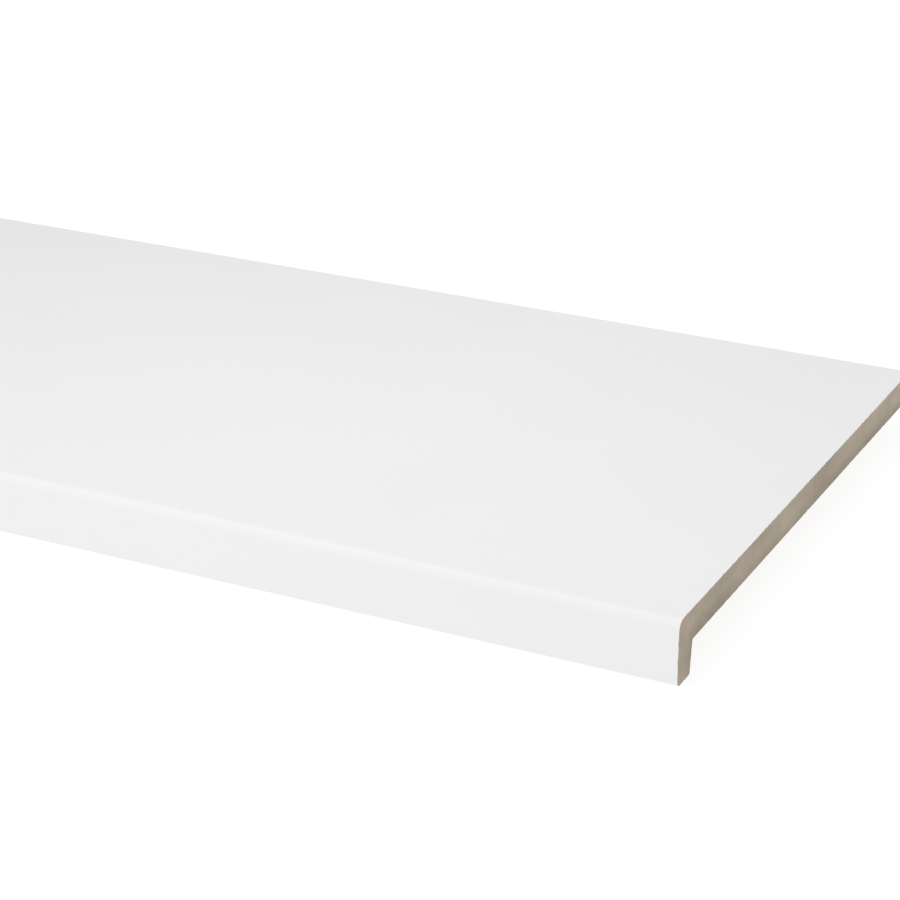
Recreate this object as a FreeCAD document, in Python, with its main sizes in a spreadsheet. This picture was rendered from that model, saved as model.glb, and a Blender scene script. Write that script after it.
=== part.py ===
import FreeCAD, Part
import os
from enum import IntEnum

import Sketcher

# Window sill board: one length of fibreboard stock, L-shaped in section.
# A flat board carries a nose that hangs down along its front edge.
# The nose thins from its root to its foot, and its long corners are rounded over.
# X runs along the board, Y from the nose to the back edge and Z up.
# The origin is under the middle of the board, level with the foot of the nose.

NODE = "window_sill_board"

# Driving dimensions, in millimetres. Depth and height are overall, nose included.
SIZES = {
    "board_length": 1200,
    "board_depth": 400,
    "board_thickness": 19,
    "nose_height": 39,
    "nose_root_thickness": 20,
    "nose_foot_thickness": 17.5,
    "front_round_radius": 6,
    "foot_round_radius": 3.5,
    "heel_round_radius": 1.5,
    "root_round_radius": 1,
}

# Two points this close together, in millimetres, are in the same place.
SAME_PLACE = 1e-6


class Axis(IntEnum):
    """One of the sketch's own axes, as a constraint names it."""

    HORIZONTAL = -1
    VERTICAL = -2


class End(IntEnum):
    """Which end of a line a constraint speaks of."""

    START = 1
    FINISH = 2


def make_sheet(document):
    """The spreadsheet, with one named cell for each driving dimension."""
    sheet = document.addObject("Spreadsheet::Sheet", "Sizes")
    for row, (name, value) in enumerate(SIZES.items(), start=1):
        sheet.set(f"A{row}", name)
        sheet.set(f"B{row}", str(value))
        sheet.setAlias(f"B{row}", name)
    document.recompute()
    return sheet


def section_corners(sheet):
    """The sharp corners of the section as (Y, Z), clockwise from the front of the foot."""
    front = -sheet.board_depth / 2
    back = sheet.board_depth / 2
    top = sheet.nose_height
    underside = sheet.nose_height - sheet.board_thickness
    return {
        "foot_front": (front, 0),
        "top_front": (front, top),
        "top_back": (back, top),
        "under_back": (back, underside),
        "nose_root": (front + sheet.nose_root_thickness, underside),
        "heel": (front + sheet.nose_foot_thickness, 0),
    }


def origin_plane(body, role):
    """One of the body's own three planes."""
    return next(plane for plane in body.Origin.OriginFeatures if plane.Role == role)


def draw_section(body, sheet):
    """The section with sharp corners: a fully constrained sketch that the dimensions drive."""
    sketch = body.newObject("Sketcher::SketchObject", "Section")
    sketch.AttachmentSupport = [(origin_plane(body, "YZ_Plane"), "")]
    sketch.MapMode = "FlatFace"

    corners = [FreeCAD.Vector(y, z, 0) for y, z in section_corners(sheet).values()]
    lines = []
    for corner, following in zip(corners, corners[1:] + corners[:1]):
        lines.append(sketch.addGeometry(Part.LineSegment(corner, following), False))
    for line, following in zip(lines, lines[1:] + lines[:1]):
        sketch.addConstraint(Sketcher.Constraint("Coincident", line, End.FINISH, following, End.START))

    # The fifth line, the inside of the nose, leans as its root and its foot place it.
    front, top, back, underside, _, foot = lines
    for upright in (front, back):
        sketch.addConstraint(Sketcher.Constraint("Vertical", upright))
    for level in (underside, foot):
        sketch.addConstraint(Sketcher.Constraint("Horizontal", level))
    # The top is level too, because its two ends mirror each other.
    sketch.addConstraint(Sketcher.Constraint("Symmetric", top, End.START, top, End.FINISH, Axis.VERTICAL))
    sketch.addConstraint(Sketcher.Constraint("PointOnObject", foot, End.FINISH, Axis.HORIZONTAL))

    def measure(direction, first_end, second_end, name):
        """A distance between two line ends, bound to the cell of that name."""
        distance = getattr(sheet, name)
        constraint = Sketcher.Constraint(direction, *first_end, *second_end, distance)
        sketch.renameConstraint(sketch.addConstraint(constraint), name)
        sketch.setExpression(f"Constraints.{name}", f"Sizes.{name}")

    measure("DistanceX", (top, End.START), (top, End.FINISH), "board_depth")
    measure("DistanceY", (back, End.FINISH), (back, End.START), "board_thickness")
    measure("DistanceY", (front, End.START), (front, End.FINISH), "nose_height")
    measure("DistanceX", (front, End.FINISH), (underside, End.FINISH), "nose_root_thickness")
    measure("DistanceX", (foot, End.FINISH), (foot, End.START), "nose_foot_thickness")
    return sketch


def pad_length(body, sketch):
    """The section run along the board, half of its length to each side of the middle."""
    pad = body.newObject("PartDesign::Pad", "BoardLength")
    pad.Profile = sketch
    pad.SideType = "Symmetric"
    pad.setExpression("Length", "Sizes.board_length")
    body.Document.recompute()


def long_edge(shape, corner):
    """The name of the edge that runs along the board at one corner of the section."""
    y, z = corner
    for number, edge in enumerate(shape.Edges, start=1):
        ends = [vertex.Point for vertex in edge.Vertexes]
        if all(abs(end.y - y) < SAME_PLACE and abs(end.z - z) < SAME_PLACE for end in ends):
            return f"Edge{number}"
    raise RuntimeError(f"no edge runs along the board at {corner}")


def round_corner(body, sheet, corner, feature_name, radius_name):
    """One long corner of the board rounded over to its own radius."""
    base = body.Tip
    fillet = body.newObject("PartDesign::Fillet", feature_name)
    fillet.Base = (base, [long_edge(base.Shape, section_corners(sheet)[corner])])
    fillet.setExpression("Radius", f"Sizes.{radius_name}")
    body.Document.recompute()


def make_board(document, sheet):
    """The whole board: its section run to length, then four of its long corners rounded."""
    body = document.addObject("PartDesign::Body", "Board")
    body.Label = NODE
    pad_length(body, draw_section(body, sheet))
    round_corner(body, sheet, "top_front", "FrontRound", "front_round_radius")
    round_corner(body, sheet, "foot_front", "FootRound", "foot_round_radius")
    round_corner(body, sheet, "heel", "HeelRound", "heel_round_radius")
    round_corner(body, sheet, "nose_root", "RootRound", "root_round_radius")
    return body


def stop_if_broken(document, body):
    """Nothing is written while a feature has failed or the solid isn't sound."""
    for feature in document.Objects:
        if "Invalid" in feature.State or "Error" in feature.State:
            raise RuntimeError(f"{feature.Label} failed: {feature.State}")
    if body.Shape.isNull() or not body.Shape.isValid():
        raise RuntimeError(f"{body.Label} has no sound solid")


document = FreeCAD.newDocument("WindowSillBoard")
sheet = make_sheet(document)
board = make_board(document, sheet)
document.recompute()
stop_if_broken(document, board)
os.makedirs("parts", exist_ok=True)
board.Shape.exportStep(f"parts/{board.Label}.step")
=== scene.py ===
import math
import random
from typing import NamedTuple

import bmesh
import bpy
from mathutils import Matrix, Vector


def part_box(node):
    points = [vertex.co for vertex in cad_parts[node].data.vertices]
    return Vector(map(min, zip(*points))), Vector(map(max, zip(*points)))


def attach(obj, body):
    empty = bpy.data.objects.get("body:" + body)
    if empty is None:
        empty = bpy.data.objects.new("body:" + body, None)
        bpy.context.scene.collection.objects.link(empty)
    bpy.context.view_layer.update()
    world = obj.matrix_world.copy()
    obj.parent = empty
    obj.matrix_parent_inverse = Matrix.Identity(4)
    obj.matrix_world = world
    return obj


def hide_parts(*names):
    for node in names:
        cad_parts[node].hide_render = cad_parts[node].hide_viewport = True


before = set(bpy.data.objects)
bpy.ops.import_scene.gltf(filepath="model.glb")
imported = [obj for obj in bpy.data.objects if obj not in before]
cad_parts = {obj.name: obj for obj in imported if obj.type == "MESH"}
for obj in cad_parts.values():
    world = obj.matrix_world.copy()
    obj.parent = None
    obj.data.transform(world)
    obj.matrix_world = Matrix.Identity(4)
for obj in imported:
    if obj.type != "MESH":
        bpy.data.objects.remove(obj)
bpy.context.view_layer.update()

# A window sill board: one length of fibreboard, L-shaped in section, with a white satin coat.
# X runs along the board, Y from the nose to the back edge and Z up, in metres.

MM = 0.001
NODE = "window_sill_board"
PIECE = "finished_sill_board"

# The section, nose included. Its overall depth and height are the frame's.
BOARD_THICKNESS = 19 * MM
NOSE_ROOT_THICKNESS = 20 * MM
NOSE_FOOT_THICKNESS = 17.5 * MM
FRONT_ROUND = 6 * MM
FOOT_ROUND = 3.5 * MM
HEEL_ROUND = 1.5 * MM
ROOT_ROUND = 1 * MM
BACK_ARRIS = 0.3 * MM

LOW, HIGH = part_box(NODE)
FRONT, BACK = LOW.y, HIGH.y
FOOT, TOP = LOW.z, HIGH.z
UNDERSIDE = TOP - BOARD_THICKNESS

# How finely the mesh follows the section, its rounded corners and the length,
# and the bend between two faces from which the edge between them is crisp.
SECTION_STEP = 1.5 * MM
ROUND_STEPS = 14
LENGTH_STEPS = 16
CRISP_BEND = math.radians(30)

# A saw leaves a fine arris at each end, and here and there it tears a chip out of the coat.
# The higher the rarity, the fewer chips come near the deepest one.
# Where a corner is rounded, the deepest chip is only a share of the corner's radius.
END_ARRIS = 0.08 * MM
DEEPEST_CHIP = 0.5 * MM
CHIP_RARITY = 7
CHIP_IN_ROUND = 0.04
CHIP_SEED = 11

# The flat map of the board's skin: the long faces unrolled into one strip, with the two ends above it.
FLAT_MAP = "OFBake"
MAP_EDGE = 0.012

# The studio: how bright the room and the floor are by themselves, with 1 as white,
# and the share of the light on it that the floor sends back.
ROOM_GLOW = 0.796
FLOOR_GLOW = 0.88
FLOOR_PAINT = 0.15
# So many metres away the floor starts to fade, is as bright as the room, and ends.
FADE_START = 4
FADE_END = 20
FLOOR_END = 30

# The camera, as the photograph's edges place it, with its sensor and lens in millimetres.
# The corner is the foot of the nose at the right end: its pixel, counted from the top left
# of the picture, and its distance along the view.
PICTURE_SIDE = 900
SENSOR = 36.0
LENS = 103.847
VIEW_AZIMUTH = math.radians(26.516)
VIEW_ELEVATION = math.radians(23.214)
CORNER_PIXEL = Vector((677.2, 688.35))
CORNER_DEPTH = 1.3733


class Value:
    """One output of a finish's nodes. Arithmetic on it adds Math nodes."""

    def __init__(self, finish, socket):
        self.finish = finish
        self.socket = socket

    def maths(self, operation, first, second):
        """A Math node on two values, either of which may be a plain number."""
        sockets = {0: first, 1: second}
        return self.finish.add("ShaderNodeMath", {"operation": operation}, sockets)["Value"]

    def __add__(self, other):
        return self.maths("ADD", self, other)

    def __radd__(self, other):
        return self.maths("ADD", other, self)

    def __sub__(self, other):
        return self.maths("SUBTRACT", self, other)

    def __rsub__(self, other):
        return self.maths("SUBTRACT", other, self)

    def __mul__(self, other):
        return self.maths("MULTIPLY", self, other)

    def __rmul__(self, other):
        return self.maths("MULTIPLY", other, self)

    def most(self, other):
        """The greater of two values."""
        return self.maths("MAXIMUM", self, other)

    def ramp(self, start, end):
        """0 up to start, 1 from end on and a smooth rise between them."""
        settings = {"interpolation_type": "SMOOTHSTEP"}
        sockets = {"Value": self, "From Min": start, "From Max": end}
        return self.finish.add("ShaderNodeMapRange", settings, sockets)["Result"]


class Finish:
    """One material, built node by node."""

    def __init__(self, name):
        self.material = bpy.data.materials.new(name)
        self.material.use_nodes = True
        self.tree = self.material.node_tree
        self.tree.nodes.clear()

    def add(self, kind, settings, sockets):
        """Adds a node and returns its outputs by name. A socket goes by its name or its number."""
        node = self.tree.nodes.new(kind)
        for name, setting in settings.items():
            setattr(node, name, setting)
        in_use = {socket.name: socket for socket in reversed(node.inputs) if socket.enabled}
        for key, value in sockets.items():
            socket = node.inputs[key] if isinstance(key, int) else in_use[key]
            if isinstance(value, Value):
                self.tree.links.new(value.socket, socket)
            else:
                socket.default_value = value
        return {socket.name: Value(self, socket) for socket in node.outputs if socket.enabled}

    def place(self):
        """Where a point of the surface lies on the board, as a vector in metres."""
        return self.add("ShaderNodeTexCoord", {}, {})["Object"]

    def noise(self, place, cells, detail, roughness=0.5):
        """A cloudy pattern around 0.5, with so many cells to the metre along each axis.

        Detail is the number of finer layers on it, and roughness is how strong they are.
        """
        stretched = self.add("ShaderNodeMapping", {}, {"Vector": place, "Scale": cells})["Vector"]
        sockets = {"Vector": stretched, "Scale": 1.0, "Detail": detail, "Roughness": roughness}
        return self.add("ShaderNodeTexNoise", {}, sockets)["Fac"]

    def mix(self, factor, first, second):
        """A colour between two colours."""
        sockets = {"Factor": factor, "A": first, "B": second}
        return self.add("ShaderNodeMix", {"data_type": "RGBA"}, sockets)["Result"]

    def relief(self, height, depth):
        """The surface raised by height, a pattern from 0 to 1 that stands for depth in metres."""
        sockets = {"Height": height, "Strength": 1.0, "Distance": depth}
        return self.add("ShaderNodeBump", {}, sockets)["Normal"]

    def surface(self, sockets):
        """The shader that the finish ends in."""
        shader = self.add("ShaderNodeBsdfPrincipled", {}, sockets)["BSDF"]
        self.add("ShaderNodeOutputMaterial", {}, {"Surface": shader})
        return self.material


def even(cells):
    """The same number of cells to the metre along each axis."""
    return (cells, cells, cells)


def colour(red, green, blue):
    """An opaque colour."""
    return (red, green, blue, 1.0)


def grey(level):
    """A colour without a tint, from black at 0 to white at 1."""
    return colour(level, level, level)


def white_coat():
    """A smooth white satin coat: barely clouded, with the faint dimples of a sprayed film."""
    shaded = colour(0.799, 0.796, 0.806)
    clean = colour(0.809, 0.806, 0.816)
    finish = Finish("white_satin_coat")
    place = finish.place()
    clouds = finish.noise(place, even(9), detail=2.0)
    film = finish.noise(place, even(55), detail=3.0)
    dimples = finish.noise(place, even(420), detail=1.0)
    tone = (clouds * 0.7 + film * 0.3).ramp(0.3, 0.7)
    return finish.surface({
        "Base Color": finish.mix(tone, shaded, clean),
        "Roughness": 0.36 + film * 0.1,
        "Normal": finish.relief(dimples, depth=0.004 * MM),
    })


def depth_below_bare_skin(finish, place):
    """How far a point lies from the bare underside and the nose's bare inside, in metres."""
    axes = finish.add("ShaderNodeSeparateXYZ", {}, {"Vector": place})
    y, z = axes["Y"], axes["Z"]
    lean = (NOSE_ROOT_THICKNESS - NOSE_FOOT_THICKNESS) / (UNDERSIDE - FOOT)
    nose_inside = FRONT + NOSE_FOOT_THICKNESS + (z - FOOT) * lean
    return (z - UNDERSIDE).most(nose_inside - y)


def sawn_fibreboard():
    """Bare fibreboard across a saw cut, with fibres and saw marks, darker towards the bare underside:
    partly its denser skin, partly painted shade.
    """
    dark_brown = colour(0.267, 0.224, 0.173)
    light_brown = colour(0.461, 0.392, 0.311)
    olive = colour(0.353, 0.316, 0.227)
    dark_fibre = colour(0.180, 0.140, 0.098)
    pale_fibre = colour(0.550, 0.475, 0.382)
    finish = Finish("sawn_fibreboard")
    place = finish.place()
    # Painted shade: the end grows darker towards the bare underside and the nose's inside, over 10 mm,
    # on top of the board's denser skin there.
    clear_of_skin_and_shade = depth_below_bare_skin(finish, place).ramp(0, 10 * MM)
    fibres = finish.noise(place, (320, 320, 2600), detail=3.0)
    dark_flecks = finish.noise(place, (800, 800, 3200), detail=2.0).ramp(0.62, 0.72)
    pale_flecks = finish.noise(place, (650, 650, 2900), detail=2.0, roughness=0.6).ramp(0.64, 0.74)
    drift = finish.noise(place, (10, 8, 16), detail=1.0)
    patches = finish.noise(place, (34, 34, 70), detail=2.0)
    stains = finish.noise(place, (60, 60, 90), detail=2.0).ramp(0.4, 0.62)
    saw_marks = finish.noise(place, (620, 620, 40), detail=1.0)
    cloud = drift * 1.1 + patches * 0.5 + fibres * 0.45 + saw_marks * 0.2
    # The tone takes in the painted shade towards the underside as well as the random clouds.
    tone = (cloud + clear_of_skin_and_shade * 0.26).ramp(0.8, 1.65)
    bare = finish.mix(tone, dark_brown, light_brown)
    stained = finish.mix(stains * 0.4, bare, olive)
    darkened = finish.mix(dark_flecks * 0.4, stained, dark_fibre)
    return finish.surface({
        "Base Color": finish.mix(pale_flecks * 0.35, darkened, pale_fibre),
        "Roughness": 0.82 + fibres * 0.14,
        "Normal": finish.relief(fibres * 0.6 + saw_marks * 0.4, depth=0.06 * MM),
        "Specular IOR Level": 0.25,
    })


def pressed_fibreboard():
    """The bare underside: fibreboard as the press leaves it, close and smooth, with flecks of fibre."""
    brown = colour(0.300, 0.246, 0.176)
    pale = colour(0.395, 0.335, 0.252)
    dark_fibre = colour(0.185, 0.140, 0.092)
    finish = Finish("pressed_fibreboard")
    place = finish.place()
    patches = finish.noise(place, even(14), detail=3.0)
    fibres = finish.noise(place, (260, 420, 420), detail=4.0, roughness=0.65)
    flecks = finish.noise(place, (700, 1100, 1100), detail=2.0).ramp(0.64, 0.74)
    tone = (patches * 0.5 + fibres * 0.5).ramp(0.3, 0.7)
    bare = finish.mix(tone, brown, pale)
    return finish.surface({
        "Base Color": finish.mix(flecks * 0.4, bare, dark_fibre),
        "Roughness": 0.62 + fibres * 0.2,
        "Normal": finish.relief(fibres, depth=0.02 * MM),
        "Specular IOR Level": 0.35,
    })


def following(items):
    """The list moved on by one, so that each item's place holds its next neighbour."""
    return items[1:] + items[:1]


def rounded_corner(before, corner, after, radius):
    """The arc that rounds a corner of the section, as points from one face to the next."""
    to_before = (before - corner).normalized()
    to_after = (after - corner).normalized()
    half_angle = to_before.angle(to_after) / 2
    middle = corner + (to_before + to_after).normalized() * radius / math.sin(half_angle)
    reach = radius / math.tan(half_angle)
    start = corner + to_before * reach - middle
    end = corner + to_after * reach - middle
    step = -start.angle_signed(end) / ROUND_STEPS
    return [middle + Matrix.Rotation(step * i, 2) @ start for i in range(ROUND_STEPS + 1)]


class Spot(NamedTuple):
    """A point of the section's outline, as (Y, Z).

    Its finish is that of the face between it and the next spot, and its chip is the deepest one there.
    """

    place: Vector
    finish: str
    chip: float


def section_outline():
    """The section's outline as spots, clockwise from the front of the foot."""
    corners = [
        (Vector((FRONT, FOOT)), FOOT_ROUND, "coat"),
        (Vector((FRONT, TOP)), FRONT_ROUND, "coat"),
        (Vector((BACK, TOP)), BACK_ARRIS, "sawn"),
        (Vector((BACK, UNDERSIDE)), BACK_ARRIS, "pressed"),
        (Vector((FRONT + NOSE_ROOT_THICKNESS, UNDERSIDE)), ROOT_ROUND, "pressed"),
        (Vector((FRONT + NOSE_FOOT_THICKNESS, FOOT)), HEEL_ROUND, "coat"),
    ]
    arcs = []
    for i, (corner, radius, _) in enumerate(corners):
        before = corners[i - 1][0]
        after = corners[(i + 1) % len(corners)][0]
        arcs.append(rounded_corner(before, corner, after, radius))

    outline = []
    for arc, next_arc, (_, radius, finish) in zip(arcs, following(arcs), corners):
        chip = max(END_ARRIS, CHIP_IN_ROUND * radius)
        outline += [Spot(place, finish, chip) for place in arc]
        run = next_arc[0] - arc[-1]
        pieces = max(1, round(run.length / SECTION_STEP))
        outline += [Spot(arc[-1] + run * k / pieces, finish, DEEPEST_CHIP) for k in range(1, pieces)]
    return outline


def sawn_end(outline, x, outward, chance):
    """Two rings of points at one end: where the faces stop, and the edge of the cut itself."""
    before = outline[-1:] + outline[:-1]
    after = following(outline)
    faces_stop = []
    cut_edge = []
    for last_spot, spot, next_spot in zip(before, outline, after):
        along = next_spot.place - last_spot.place
        inward = Vector((along.y, -along.x)).normalized()
        depth = END_ARRIS + (spot.chip - END_ARRIS) * chance.random() ** CHIP_RARITY
        faces_stop.append((x - outward * depth, *spot.place))
        cut_edge.append((x, *(spot.place + inward * depth)))
    return faces_stop, cut_edge


def board_rings(outline):
    """The section repeated along the board, from the edge of one cut to the edge of the other."""
    chance = random.Random(CHIP_SEED)
    left_stop, left_cut = sawn_end(outline, LOW.x, -1, chance)
    right_stop, right_cut = sawn_end(outline, HIGH.x, 1, chance)
    between = []
    for k in range(1, LENGTH_STEPS):
        x = LOW.x + (HIGH.x - LOW.x) * k / LENGTH_STEPS
        between.append([(x, *spot.place) for spot in outline])
    return [left_cut, left_stop] + between + [right_stop, right_cut]


def board_faces(outline, rings):
    """The board's faces: for each its corners' numbers, its finish and its corners on the flat map."""
    count = len(outline)
    walked = [0.0]
    for spot, next_spot in zip(outline, following(outline)):
        walked.append(walked[-1] + (next_spot.place - spot.place).length)

    # The strip lies along the bottom of the map. Above it each end has a shelf of its own.
    strip_scale = (1 - 2 * MAP_EDGE) / (HIGH.x - LOW.x)
    end_scale = (1 - 2 * MAP_EDGE) / (BACK - FRONT)
    left_shelf = 2 * MAP_EDGE + walked[-1] * strip_scale
    right_shelf = left_shelf + (TOP - FOOT) * end_scale + MAP_EDGE

    def on_strip(ring, i):
        x = rings[ring][i % count][0]
        return (MAP_EDGE + (x - LOW.x) * strip_scale, MAP_EDGE + walked[i] * strip_scale)

    def on_end(ring, i):
        _, y, z = rings[ring][i % count]
        shelf = left_shelf if ring < len(rings) / 2 else right_shelf
        return (MAP_EDGE + (y - FRONT) * end_scale, shelf + (z - FOOT) * end_scale)

    def face(corners, finish, on_map):
        numbers = [ring * count + i % count for ring, i in corners]
        return numbers, finish, [on_map(ring, i) for ring, i in corners]

    faces = []
    last = len(rings) - 1
    for ring in range(last):
        at_an_end = ring in (0, last - 1)
        for i, spot in enumerate(outline):
            corners = [(ring, i), (ring + 1, i), (ring + 1, i + 1), (ring, i + 1)]
            if at_an_end:
                faces.append(face(corners, "sawn", on_end))
            else:
                faces.append(face(corners, spot.finish, on_strip))
    faces.append(face([(0, i) for i in range(count)], "sawn", on_end))
    faces.append(face([(last, i) for i in reversed(range(count))], "sawn", on_end))
    return faces


def divide_saw_cuts(mesh):
    """Divides the faces of the two saw cuts, the only ones with many corners, into even triangles."""
    shape = bmesh.new()
    shape.from_mesh(mesh)
    cuts = [face for face in shape.faces if len(face.verts) > 4]
    bmesh.ops.triangulate(shape, faces=cuts, ngon_method="BEAUTY")
    shape.to_mesh(mesh)
    shape.free()


def make_board(finishes):
    """The whole board as one closed mesh: its section run to length between two sawn ends."""
    outline = section_outline()
    rings = board_rings(outline)
    faces = board_faces(outline, rings)
    slots = list(finishes)
    corners = [corner for ring in rings for corner in ring]
    corners_on_map = [part for _, _, places in faces for place in places for part in place]

    mesh = bpy.data.meshes.new(PIECE)
    mesh.from_pydata(corners, [], [numbers for numbers, _, _ in faces])
    for material in finishes.values():
        mesh.materials.append(material)
    mesh.polygons.foreach_set("material_index", [slots.index(finish) for _, finish, _ in faces])
    mesh.uv_layers.new(name=FLAT_MAP).uv.foreach_set("vector", corners_on_map)
    divide_saw_cuts(mesh)
    mesh.shade_smooth()
    mesh.set_sharp_from_angle(angle=CRISP_BEND)
    piece = bpy.data.objects.new(PIECE, mesh)
    bpy.context.scene.collection.objects.link(piece)
    return piece


def pale_floor():
    """A plain white floor with a glow that keeps shadows faint. Far off it fades into the room."""
    finish = Finish("pale_floor")
    place = finish.place()
    distance = finish.add("ShaderNodeVectorMath", {"operation": "LENGTH"}, {"Vector": place})["Value"]
    faded = ROOM_GLOW * (1 - FLOOR_PAINT) / FLOOR_GLOW
    far = FLOOR_END
    corners = [(-far, -far, FOOT), (far, -far, FOOT), (far, far, FOOT), (-far, far, FOOT)]
    mesh = bpy.data.meshes.new("pale_floor")
    mesh.from_pydata(corners, [], [(0, 1, 2, 3)])
    mesh.materials.append(finish.surface({
        "Base Color": grey(FLOOR_PAINT),
        "Roughness": 1.0,
        "Specular IOR Level": 0.0,
        "Emission Color": finish.mix(distance.ramp(FADE_START, FADE_END), grey(1), grey(faded)),
        "Emission Strength": FLOOR_GLOW,
    }))
    floor = bpy.data.objects.new("pale_floor", mesh)
    bpy.context.scene.collection.objects.link(floor)


def white_room():
    """Even white light from all round."""
    world = bpy.data.worlds.new("white_room")
    world.use_nodes = True
    walls = world.node_tree.nodes["Background"]
    walls.inputs["Color"].default_value = grey(1)
    walls.inputs["Strength"].default_value = ROOM_GLOW
    bpy.context.scene.world = world


def soft_light(name, place, aim, side, watts):
    """A large square studio lamp, which isn't seen, neither itself nor as glare on the coat."""
    lamp = bpy.data.lights.new(name, "AREA")
    lamp.shape = "SQUARE"
    lamp.size = side
    lamp.energy = watts
    light = bpy.data.objects.new(name, lamp)
    light.location = place
    light.visible_camera = False
    light.visible_glossy = False
    light.rotation_euler = (Vector(aim) - Vector(place)).to_track_quat("-Z", "Y").to_euler()
    bpy.context.scene.collection.objects.link(light)


def studio():
    """A white room with a soft lamp close above the nose and a low one in front, to the left."""
    pale_floor()
    white_room()
    soft_light("lamp_above", place=(0.35, -0.2, 0.95), aim=(0.35, -0.2, 0), side=0.8, watts=2.8)
    soft_light("lamp_in_front", place=(-0.9, -2.4, 0.5), aim=(0, -0.2, 0), side=1.2, watts=12)


def camera():
    """The photograph's view: the corner at the foot of the nose falls on its own pixel."""
    backward = Vector((math.sin(VIEW_AZIMUTH), -math.cos(VIEW_AZIMUTH), 0))
    right = Vector((math.cos(VIEW_AZIMUTH), math.sin(VIEW_AZIMUTH), 0))
    away = backward * math.cos(VIEW_ELEVATION) + Vector((0, 0, math.sin(VIEW_ELEVATION)))
    up = away.cross(right)

    metres_per_pixel = CORNER_DEPTH * SENSOR / LENS / PICTURE_SIDE
    offset = (CORNER_PIXEL - Vector((1, 1)) * PICTURE_SIDE / 2) * metres_per_pixel
    corner = Vector((HIGH.x, FRONT, FOOT))
    place = corner - right * offset.x + up * offset.y + away * CORNER_DEPTH

    lens = bpy.data.cameras.new("camera")
    lens.sensor_width = SENSOR
    lens.lens = LENS
    view = bpy.data.objects.new("camera", lens)
    view.matrix_world = Matrix((right, up, away)).transposed().to_4x4()
    view.location = place
    bpy.context.scene.collection.objects.link(view)
    bpy.context.scene.camera = view


board = make_board({
    "coat": white_coat(),
    "sawn": sawn_fibreboard(),
    "pressed": pressed_fibreboard(),
})
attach(board, "root")
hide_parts(NODE)

studio()
camera()
bpy.context.scene.view_settings.view_transform = "Standard"
